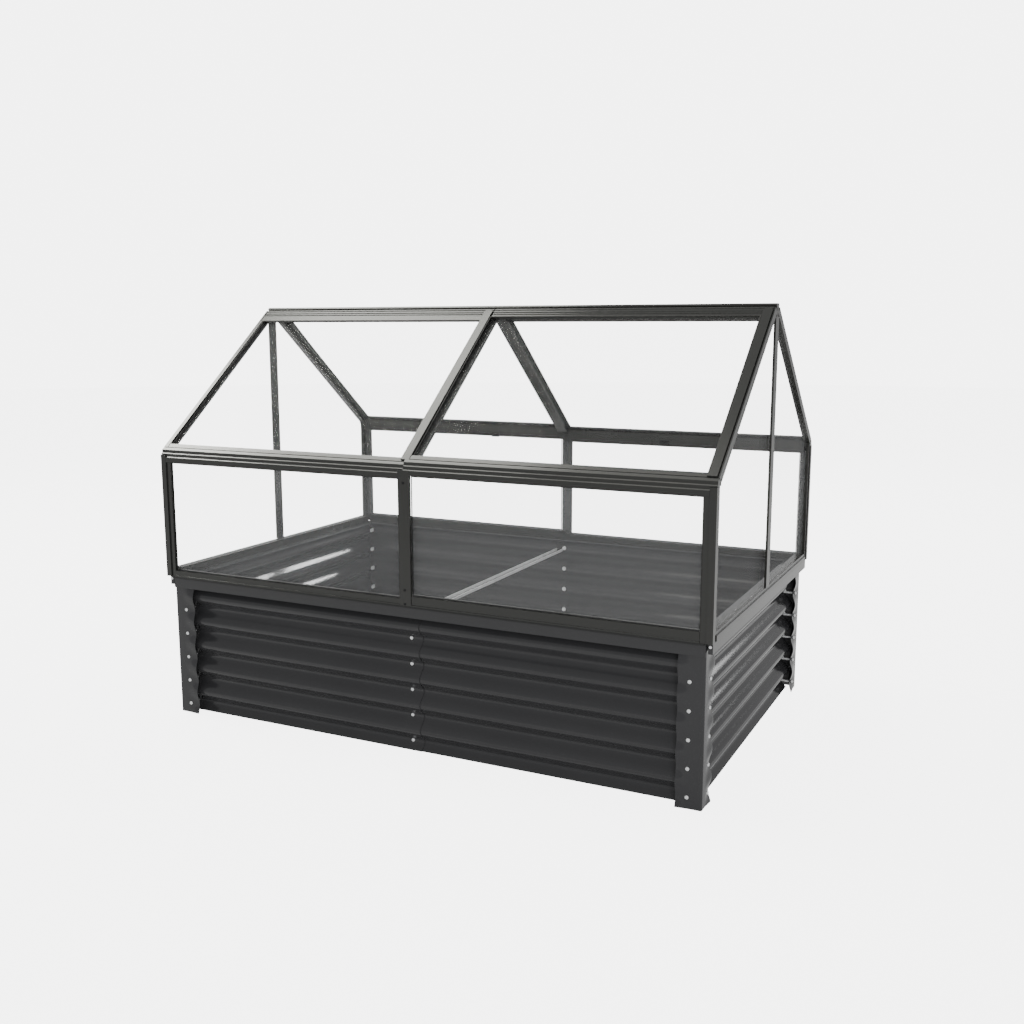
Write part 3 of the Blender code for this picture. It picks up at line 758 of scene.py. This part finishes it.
@dataclass
class FoldedPost:
    """A bed corner post: a folded strip whose free edges are pressed into waves."""

    node: str
    wave: Corrugation
    leg: float = 0.050
    gauge: float = 0.0015
    swell: float = 0.003
    flat: float = 0.018
    bend: float = 0.005
    facets: int = 14

    def profile(self, columns: int) -> list[tuple[float, float, float]]:
        """Return points along the strip's outer face, from one free edge to the other.

        Args:
            columns: points on each leg.

        Returns:
            Rows of distance along the front leg, distance along the side leg, and wave share.
        """
        front = []
        for i in range(columns + 1):
            u = self.leg - (self.leg - self.bend) * i / columns
            share = max(0.0, (u - self.flat) / (self.leg - self.flat))
            front.append((u, 0.0, share * share * (3.0 - 2.0 * share)))
        arc = []
        for i in range(1, 4):
            angle = math.pi / 2 * i / 4
            arc.append((self.bend * (1 - math.sin(angle)), self.bend * (1 - math.cos(angle)), 0.0))
        return front + arc + [(v, u, share) for u, v, share in reversed(front)]

    def build(self) -> bpy.types.Object:
        """Model the strip as a grid, fold it, press the waves and give it its gauge.

        Returns:
            The post.
        """
        low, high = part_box(self.node)
        centre = (low + high) / 2
        side_x = math.copysign(1.0, centre.x)
        side_y = math.copysign(1.0, centre.y)
        strip = self.profile(12)
        rows = round((high.z - low.z) / self.wave.pitch * self.facets)
        columns = len(strip) - 1
        bpy.ops.mesh.primitive_grid_add(x_subdivisions=columns, y_subdivisions=rows, size=1.0)
        post = added(f"{self.node}_folded")
        corner_x = abs(high.x if side_x > 0 else low.x) - self.swell
        corner_y = abs(high.y if side_y > 0 else low.y) - self.swell
        last = self.wave.row(self.wave.rows - 1)
        for vert in post.data.vertices:
            u, v, share = strip[round((vert.co.x + 0.5) * columns)]
            z = low.z + (vert.co.y + 0.5) * (high.z - low.z)
            out = self.swell * share * self.wave.phase(min(z, last)) - self.gauge / 2
            depth_x, depth_y = (u, v - out) if u > v else (u - out, v)
            if u == v or share == 0.0:
                depth_x = max(u, self.gauge / 2)
                depth_y = max(v, self.gauge / 2)
            vert.co = (side_x * (corner_x - depth_x), side_y * (corner_y - depth_y), z)
        apply_modifier(post, "SOLIDIFY", thickness=self.gauge, offset=0.0)
        turn_outward(post)
        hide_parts(self.node)
        dress(post, BED_COAT, body_of(self.node), angle=50.0)
        return post


@dataclass
class Extrusion:
    """A bar or folded rim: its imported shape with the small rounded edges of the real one."""

    node: str
    finish: Finish
    slot: Slot
    edge: float = 0.0004
    weld: float = 0.00035

    def build(self) -> bpy.types.Object:
        """Copy the node's shape, weld it, round its edges and dress it.

        Returns:
            The bar.
        """
        source = frame["nodes"][self.node]
        bar = source.copy()
        bar.data = source.data.copy()
        bar.parent = None
        for key in list(bar.keys()):
            if key.startswith("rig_"):
                del bar[key]
        bar.name = f"{self.node}_bar"
        bpy.context.scene.collection.objects.link(bar)
        only(bar)
        bpy.ops.object.mode_set(mode="EDIT")
        bpy.ops.mesh.select_all(action="SELECT")
        bpy.ops.mesh.remove_doubles(threshold=self.weld)
        bpy.ops.mesh.dissolve_limited(angle_limit=math.radians(1.5))
        finish_edit()
        apply_modifier(bar, "BEVEL", width=self.edge, segments=2, limit_method="ANGLE",
                       angle_limit=math.radians(25.0), harden_normals=False)
        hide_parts(self.node)
        dress(bar, self.finish, body_of(self.node), angle=35.0)
        apply_modifier(bar, "WEIGHTED_NORMAL", mode="FACE_AREA", weight=100, keep_sharp=True)
        return bar


@dataclass
class Fasteners:
    """The bolts of the bed, with their washers and nuts."""

    wave: Corrugation
    head: float = 0.0037
    leg_x: float = 0.572
    leg_y: float = 0.3505
    centre_x: float = -0.0105
    sides: int = 16
    flange: float = 0.0009
    dome: tuple[tuple[float, float], ...] = ((0.0005, 0.0008), (0.0006, 0.0006), (0.0006, 0.0002))
    socket_rim: float = 0.0002
    socket_depth: float = 0.0013
    shank: float = 0.0024
    shank_past: float = 0.006
    washer: float = 0.0052
    nut: float = 0.0042
    lap_grip: float = 0.0032
    post_swell: float = 0.0036

    def model_bolt(self, grip: float) -> bpy.types.Object:
        """Model a domed socket bolt that points along -Y, with its nut behind the grip.

        Args:
            grip: length of shank between the head and the washer.

        Returns:
            The bolt, with its head's underside at the origin.
        """
        turn = (math.pi / 2, 0.0, 0.0)
        bpy.ops.mesh.primitive_cylinder_add(vertices=self.sides, radius=self.head, depth=self.flange,
                                            location=(0.0, -self.flange / 2, 0.0), rotation=turn)
        bolt = added("bolt")
        settle(bolt)
        for inset, rise in self.dome:
            select_front(bolt)
            bpy.ops.mesh.inset(thickness=inset, depth=rise)
            finish_edit()
        select_front(bolt)
        bpy.ops.mesh.inset(thickness=self.socket_rim, depth=0.0)
        bpy.ops.mesh.extrude_region_move(TRANSFORM_OT_translate={"value": (0.0, self.socket_depth, 0.0)})
        finish_edit()
        parts = [bolt]
        length = grip + self.shank_past
        bpy.ops.mesh.primitive_cylinder_add(vertices=self.sides, radius=self.shank, depth=length,
                                            location=(0.0, length / 2 + 0.0001, 0.0), rotation=turn)
        parts.append(added("shank"))
        bpy.ops.mesh.primitive_cylinder_add(vertices=self.sides, radius=self.washer, depth=0.0008,
                                            location=(0.0, grip + 0.0005, 0.0), rotation=turn)
        parts.append(added("washer"))
        bpy.ops.mesh.primitive_cylinder_add(vertices=6, radius=self.nut, depth=0.0030,
                                            location=(0.0, grip + 0.0026, 0.0), rotation=turn)
        nut = added("nut")
        settle(nut)
        select_faces(nut, lambda face: abs(face.normal.y) > LOOKS_ALONG)
        bpy.ops.mesh.inset(thickness=0.0005, depth=0.0003)
        finish_edit()
        parts.append(nut)
        bpy.ops.object.select_all(action="DESELECT")
        for part in parts:
            part.select_set(True)
        bpy.context.view_layer.objects.active = bolt
        bpy.ops.object.join()
        settle(bolt)
        return bolt

    def place(self, pattern: bpy.types.Object, name: str, matrix: Matrix) -> None:
        """Copy a fastener, each copy with its own mesh, and put it in place.

        Args:
            pattern: the modelled fastener.
            name: the copy's name.
            matrix: where the copy goes.
        """
        copy = duplicate(pattern, name)
        settle(copy, matrix)
        dress(copy, ZINC, FIXED_BODY)

    def build(self) -> None:
        """Bolt the corner posts and the laps of the bed's sheets together."""
        post_low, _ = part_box("bed_post_front_left")
        sheet_low, sheet_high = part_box("front_left_panel")
        leg_face = post_low.y + self.post_swell
        lap_face = sheet_low.y + self.wave.depth
        corner_grip = sheet_high.y - leg_face
        corner = self.model_bolt(corner_grip)
        lap = self.model_bolt(self.lap_grip)
        end_low, end_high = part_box("left_end_panel")
        side_face = post_low.x + self.post_swell
        end_grip = end_high.x - side_face
        side = self.model_bolt(end_grip)
        for rear in (False, True):
            turned = half_turn(rear)
            where = "rear" if rear else "front"
            for row in range(self.wave.rows):
                z = self.wave.row(row)
                for x, label in ((-self.leg_x, "a"), (self.leg_x, "b")):
                    spot = Matrix.Translation((x, leg_face, z))
                    self.place(corner, f"bolt_{where}_{label}{row}", turned @ spot)
                spot = Matrix.Translation((self.centre_x, lap_face, z))
                self.place(lap, f"bolt_{where}_lap{row}", turned @ spot)
                for y, label in ((-self.leg_y, "c"), (self.leg_y, "d")):
                    spot = Matrix.Translation((side_face, y, z)) @ Matrix.Rotation(-math.pi / 2, 4, "Z")
                    self.place(side, f"bolt_{where}_{label}{row}", turned @ spot)
        for pattern in (corner, lap, side):
            bpy.data.objects.remove(pattern)


@dataclass
class Screws:
    """Small black screws in the centre posts, and zinc ones at the ends of the rims."""

    radius: float = 0.0026
    heights: tuple[float, ...] = (0.5532, 0.3417, 0.3137)
    across: float = -0.003
    end_inset: float = 0.0045
    end_height: float = 0.3030

    def model(self) -> bpy.types.Object:
        """Model a countersunk cross-head screw that looks along -Y.

        Returns:
            The screw, with its seat at the origin.
        """
        bpy.ops.mesh.primitive_cylinder_add(vertices=16, radius=self.radius, depth=0.0005,
                                            location=(0.0, -0.0003, 0.0), rotation=(math.pi / 2, 0.0, 0.0))
        screw = added("screw")
        settle(screw)
        select_faces(screw, lambda face: face.normal.y < -LOOKS_ALONG)
        bpy.ops.mesh.inset(thickness=0.0004, depth=0.0002)
        bpy.ops.mesh.inset(thickness=0.0005, depth=0.0)
        bpy.ops.mesh.extrude_region_move(TRANSFORM_OT_translate={"value": (0.0, 0.0006, 0.0)})
        finish_edit()
        return screw

    def build(self) -> None:
        """Screw the centre posts and the ends of the rims."""
        pattern = self.model()
        post_low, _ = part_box("centre_post_front")
        rim_low_end, rim_high_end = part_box("rim_right")
        for rear in (False, True):
            turned = half_turn(rear)
            where = "rear" if rear else "front"
            spots = [(self.across, post_low.y, z) for z in self.heights]
            spots.append((rim_high_end.x - self.end_inset, rim_low_end.y, self.end_height))
            spots.append((-rim_high_end.x + self.end_inset, rim_low_end.y, self.end_height))
            for index, spot in enumerate(spots):
                copy = duplicate(pattern, f"screw_{where}_{index}")
                settle(copy, turned @ Matrix.Translation(spot))
                dress(copy, BLACK_SCREW if index < len(self.heights) else ZINC, FIXED_BODY)
        bpy.data.objects.remove(pattern)


@dataclass
class BeadsAndShadowStrips:
    """Black rubber beads round each pane, and black strips under the sills that are painted shadow, in
    place of the shade under each sill's overhang.
    """

    bead: float = 0.0018
    rise: float = 0.0014
    gap: float = 0.0003
    # painted shadow strip under the sills: its depth, its drop below the rim's top and its inset at each
    # end
    shadow_strip_depth: float = 0.0042
    shadow_strip_drop: float = 0.0036
    shadow_strip_inset: float = 0.002

    @staticmethod
    def extent(node: str, axis: Vector) -> tuple[float, float]:
        """Measure how far a node reaches along an axis.

        Args:
            node: the node's name.
            axis: a unit vector.

        Returns:
            The lowest and the highest reach.
        """
        piece = frame["nodes"][node]
        reach = [axis.dot(piece.matrix_world @ vert.co) for vert in piece.data.vertices]
        return min(reach), max(reach)

    @staticmethod
    def sill_top(sill: str, x: float) -> float:
        """Return the height of a stepped sill's top on one side of its middle.

        Args:
            sill: the sill's node.
            x: a place on the side that is asked for.

        Returns:
            The height.
        """
        piece = frame["nodes"][sill]
        corners = [piece.matrix_world @ vert.co for vert in piece.data.vertices]
        return max(corner.z for corner in corners if corner.x * x > 0.0 and abs(corner.x) > abs(x))

    def ring(self, name: str, width: float, height: float, matrix: Matrix, body: str) -> None:
        """Model a flat rubber frame in its own XY plane, rising along its Z.

        Args:
            name: the piece's name.
            width: outer size along its X.
            height: outer size along its Y.
            matrix: the place of its centre.
            body: the CAD body that it moves with.
        """
        bpy.ops.mesh.primitive_plane_add(size=1.0)
        ring = added(name)
        ring.scale = (width, height, 1.0)
        bpy.ops.object.transform_apply(location=False, rotation=False, scale=True)
        select_faces(ring, lambda face: True)
        bpy.ops.mesh.inset(thickness=self.bead, depth=0.0)
        bpy.ops.mesh.delete(type="FACE")
        bpy.ops.mesh.select_all(action="SELECT")
        bpy.ops.mesh.extrude_region_move(TRANSFORM_OT_translate={"value": (0.0, 0.0, self.rise)})
        bpy.ops.mesh.select_all(action="SELECT")
        bpy.ops.mesh.normals_make_consistent(inside=False)
        finish_edit()
        settle(ring, matrix)
        dress(ring, RUBBER_AND_PAINTED_SHADOW, body)

    def strip(self, name: str, low: Vector, high: Vector) -> None:
        """Model a straight strip with softened edges.

        Args:
            name: the piece's name.
            low: its lowest corner.
            high: its highest corner.
        """
        bpy.ops.mesh.primitive_cube_add(size=1.0, location=(low + high) / 2)
        strip = added(name)
        strip.scale = high - low
        settle(strip)
        apply_modifier(strip, "BEVEL", width=0.0004, segments=2)
        # black rubber finish; this strip is the painted shadow under a sill
        dress(strip, RUBBER_AND_PAINTED_SHADOW, FIXED_BODY)

    def wall_beads(self) -> None:
        """Lay a bead round the outside of each pane of the long walls."""
        for end in ("front", "rear"):
            for hand in ("left", "right"):
                pane_low, pane_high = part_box(f"wall_pane_{end}_{hand}")
                corner_low, corner_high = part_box(f"corner_post_{end}_{hand}")
                middle_low, middle_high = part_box(f"centre_post_{end}")
                beam_low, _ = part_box(f"eave_beam_{end}_{hand}")
                left_side = pane_high.x + pane_low.x < 0.0
                left = corner_high.x if left_side else middle_high.x
                right = middle_low.x if left_side else corner_low.x
                sill_top = self.sill_top(f"sill_{end}", (pane_low.x + pane_high.x) / 2)
                low, high = max(left, pane_low.x), min(right, pane_high.x)
                top = min(beam_low.z, pane_high.z)
                outside = -1.0 if pane_low.y < 0.0 else 1.0
                face = pane_low.y if outside < 0.0 else pane_high.y
                centre = Vector(((low + high) / 2, face + outside * self.gap, (sill_top + top) / 2))
                turn = Matrix.Rotation(-outside * math.pi / 2, 4, "X")
                self.ring(f"bead_wall_{end}_{hand}", high - low - 2 * self.gap,
                          top - sill_top - 2 * self.gap, Matrix.Translation(centre) @ turn, FIXED_BODY)

    def lid_beads(self) -> None:
        """Lay a bead round the top of each roof pane, between the rails and the stile."""
        hinge = frame["nodes"]["lid_front_left_pane"]
        corners = [hinge.matrix_world @ vert.co for vert in hinge.data.vertices]
        low = min(corners, key=lambda c: c.z)
        high = max(corners, key=lambda c: c.z)
        slope = math.atan2(high.z - low.z, high.y - low.y)
        for end in ("front", "rear"):
            inward = 1.0 if end == "front" else -1.0
            up = Vector((0.0, inward * math.cos(slope), math.sin(slope)))
            out = Vector((0.0, -inward * math.sin(slope), math.cos(slope)))
            across = up.cross(out)
            for hand in ("left", "right"):
                lid = f"lid_{end}_{hand}"
                _, foot = self.extent(f"{lid}_bottom_rail", up)
                head, _ = self.extent(f"{lid}_top_rail", up)
                _, face = self.extent(f"{lid}_pane", out)
                pane_low, pane_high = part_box(f"{lid}_pane")
                stile_low, stile_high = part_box(f"{lid}_stile")
                left, right = pane_low.x, pane_high.x
                if stile_low.x + stile_high.x > left + right:
                    right = min(right, stile_low.x)
                else:
                    left = max(left, stile_high.x)
                centre = up * ((foot + head) / 2) + out * (face + self.gap)
                centre.x = (left + right) / 2
                axes = Matrix((across, up, out)).transposed().to_4x4()
                self.ring(f"bead_{lid}", right - left - 2 * self.gap, head - foot - 2 * self.gap,
                          Matrix.Translation(centre) @ axes, body_of(f"{lid}_pane"))

    def build(self) -> None:
        """Fit the black strips that paint the shadow under the sills, and the beads."""
        rim_low, rim_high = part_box("rim_front")
        sill_low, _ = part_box("sill_front")
        # painted shadow: a black strip under each sill's lip, in place of the shadow the sill throws on
        # the rim band
        for name, inward in (("front", 1.0), ("rear", -1.0)):
            edges = (inward * (rim_low.y - self.gap), inward * (rim_low.y - self.shadow_strip_depth))
            low = Vector((rim_low.x + self.shadow_strip_inset, min(edges), rim_high.z - self.shadow_strip_drop))
            high = Vector((rim_high.x - self.shadow_strip_inset, max(edges), sill_low.z - self.gap))
            self.strip(f"sill_shadow_strip_{name}", low, high)
        self.wall_beads()
        self.lid_beads()


@dataclass
class Clips:
    """Small black clips that hold the panes inside the eaves and under the ridge."""

    eave_spots: tuple[float, ...] = (-0.192, 0.268)
    ridge_spots: tuple[float, ...] = (0.2379, 0.316)
    ridge_y: float = 0.0175
    eave_size: tuple[float, float, float] = (0.022, 0.003, 0.012)
    ridge_size: tuple[float, float, float] = (0.010, 0.004, 0.005)

    def model(self, name: str, size: Vector) -> bpy.types.Object:
        """Model a pressed clip: a block with rounded edges and a sunken middle.

        Args:
            name: the piece's name.
            size: its size along X, Y and Z.

        Returns:
            The clip, centred on the origin.
        """
        bpy.ops.mesh.primitive_cube_add(size=1.0)
        clip = added(name)
        clip.scale = size
        settle(clip)
        apply_modifier(clip, "BEVEL", width=min(size) * 0.2, segments=2)
        select_front(clip)
        bpy.ops.mesh.inset(thickness=0.0015, depth=0.0)
        bpy.ops.mesh.extrude_region_move(TRANSFORM_OT_translate={"value": (0.0, size.y * 0.3, 0.0)})
        finish_edit()
        return clip

    def build(self) -> None:
        """Fit the clips on both long sides."""
        beam_low, beam_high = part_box("eave_beam_rear_left")
        shelf_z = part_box("lid_rear_right_pane")[1].z
        for name, turned in (("rear", Matrix.Identity(4)), ("front", half_turn(True))):
            for index, x in enumerate(self.eave_spots):
                clip = self.model(f"clip_{name}_eave_{index}", Vector(self.eave_size))
                settle(clip, turned @ Matrix.Translation((x, beam_low.y - 0.0018, beam_low.z + 0.004)))
                dress(clip, BLACK_SCREW, FIXED_BODY)
            for index, x in enumerate(self.ridge_spots):
                clip = self.model(f"clip_{name}_ridge_{index}", Vector(self.ridge_size))
                settle(clip, turned @ Matrix.Translation((x, self.ridge_y, shelf_z - 0.0028)))
                dress(clip, BLACK_SCREW, FIXED_BODY)


@dataclass(frozen=True)
class Softbox:
    """One rectangular area light, hidden from the camera."""

    name: str
    spot: tuple[float, float, float]
    target: tuple[float, float, float]
    size: tuple[float, float]
    power: float
    colour: tuple[float, float, float] = (1.0, 1.0, 1.0)

    def build(self) -> None:
        """Set up the light at its spot, looking at its target."""
        data = bpy.data.lights.new(self.name, "AREA")
        data.shape = "RECTANGLE"
        data.size, data.size_y = self.size
        data.energy = self.power
        data.color = self.colour
        lamp = bpy.data.objects.new(self.name, data)
        lamp.location = self.spot
        aim = Vector(self.target) - Vector(self.spot)
        lamp.rotation_euler = aim.to_track_quat("-Z", "Y").to_euler()
        lamp.visible_camera = False
        bpy.context.scene.collection.objects.link(lamp)


WARM = (1.0, 1.0, 0.93)


@dataclass
class Studio:
    """Pale floor, soft lights and the camera."""

    eye: tuple[float, float, float] = (1.1140, -2.1943, 0.8541)
    yaw: float = 26.15
    pitch: float = 9.63
    roll: float = 0.08
    lens: float = 38.94
    sensor: float = 36.0
    reach: float = 60.0
    lights: tuple[Softbox, ...] = (
        Softbox("left_softbox", (-3.6, -0.15, 3.35), (-0.6, -0.4, 0.6), (1.2, 1.4), 150.0, WARM),
        Softbox("middle_softbox", (-2.2, 0.3, 4.1), (0.0, -0.1, 0.7), (1.4, 1.6), 75.0, WARM),
        Softbox("top_softbox", (-0.6, -0.55, 4.2), (0.4, -0.4, 0.6), (1.2, 0.9), 11.0, WARM),
        Softbox("rear_right_softbox", (1.76, 3.8, 1.33), (0.6, 0.0, 0.15), (0.9, 0.12), 3.2),
        Softbox("rear_softbox", (0.35, 3.8, 3.1), (-0.59, 0.0, 0.2), (1.1, 0.6), 75.0),
        Softbox("front_fill", (2.6, -3.9, 1.2), (0.2, -0.3, 0.2), (1.6, 1.6), 62.0),
    )
    floor_radius: float = 14.0
    floor_drop: float = 0.0008
    ambient: float = 0.62
    backdrop: float = 5.6

    def build(self) -> None:
        """Set the floor, lights, world and camera."""
        bpy.ops.mesh.primitive_circle_add(vertices=96, radius=self.floor_radius, fill_type="NGON",
                                          location=(0.0, 0.0, -self.floor_drop))
        floor = added("studio_floor")
        settle(floor)
        floor.data.materials.append(FLOOR.material())
        for light in self.lights:
            light.build()
        world = bpy.data.worlds.new("studio_world")
        world.use_nodes = True
        background = world.node_tree.nodes["Background"]
        background.inputs["Color"].default_value = (1.0, 1.0, 1.0, 1.0)
        rays = add_node(world.node_tree, "ShaderNodeLightPath")
        level = add_node(world.node_tree, "ShaderNodeMapRange", To_Min=self.ambient, To_Max=self.backdrop)
        link(world.node_tree, rays.outputs["Is Camera Ray"], level.inputs["Value"])
        link(world.node_tree, level.outputs["Result"], background.inputs["Strength"])
        world.cycles.sampling_method = "NONE"
        bpy.context.scene.world = world
        self.build_camera()

    def build_camera(self) -> None:
        """Set the camera at the fitted viewing angle."""
        data = bpy.data.cameras.new("camera")
        data.lens = self.lens
        data.sensor_width = self.sensor
        data.clip_end = self.reach
        camera = bpy.data.objects.new("camera", data)
        turn = Matrix.Rotation(math.radians(self.yaw), 4, "Z")
        tilt = Matrix.Rotation(math.radians(90.0 - self.pitch), 4, "X")
        spin = Matrix.Rotation(math.radians(-self.roll), 4, "Z")
        camera.matrix_world = Matrix.Translation(self.eye) @ turn @ tilt @ spin
        bpy.context.scene.collection.objects.link(camera)
        bpy.context.scene.camera = camera


@dataclass
class ColdFrame:
    """The whole object."""

    wave: Corrugation = field(default_factory=Corrugation)

    def build(self) -> None:
        """Build every sub-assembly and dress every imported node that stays."""
        for node in sorted(frame["nodes"]):
            if node.endswith("_panel"):
                RolledSheet(node, self.wave).build()
            elif node.startswith("bed_post"):
                FoldedPost(node, self.wave).build()
            elif "_pane" in node:
                pane = WALL_PANE if node.startswith("wall_pane") else ROOF_PANE
                frame["nodes"][node].data.materials.clear()
                frame["nodes"][node].data.materials.append(pane.material())
            elif node == "tie_brace":
                Extrusion(node, TIE_ZINC, Slot.ZINC).build()
            elif node.startswith("rim_"):
                Extrusion(node, BED_COAT, Slot.BED).build()
            else:
                Extrusion(node, FRAME_COAT, Slot.ALUMINIUM).build()
        Fasteners(self.wave).build()
        Screws().build()
        BeadsAndShadowStrips().build()
        Clips().build()


def main() -> None:
    """Build the cold frame in its studio."""
    logging.basicConfig(level=logging.INFO, format="%(name)s %(message)s")
    Studio().build()
    ColdFrame().build()
    bpy.context.view_layer.update()


if __name__ == "__main__":
    main()
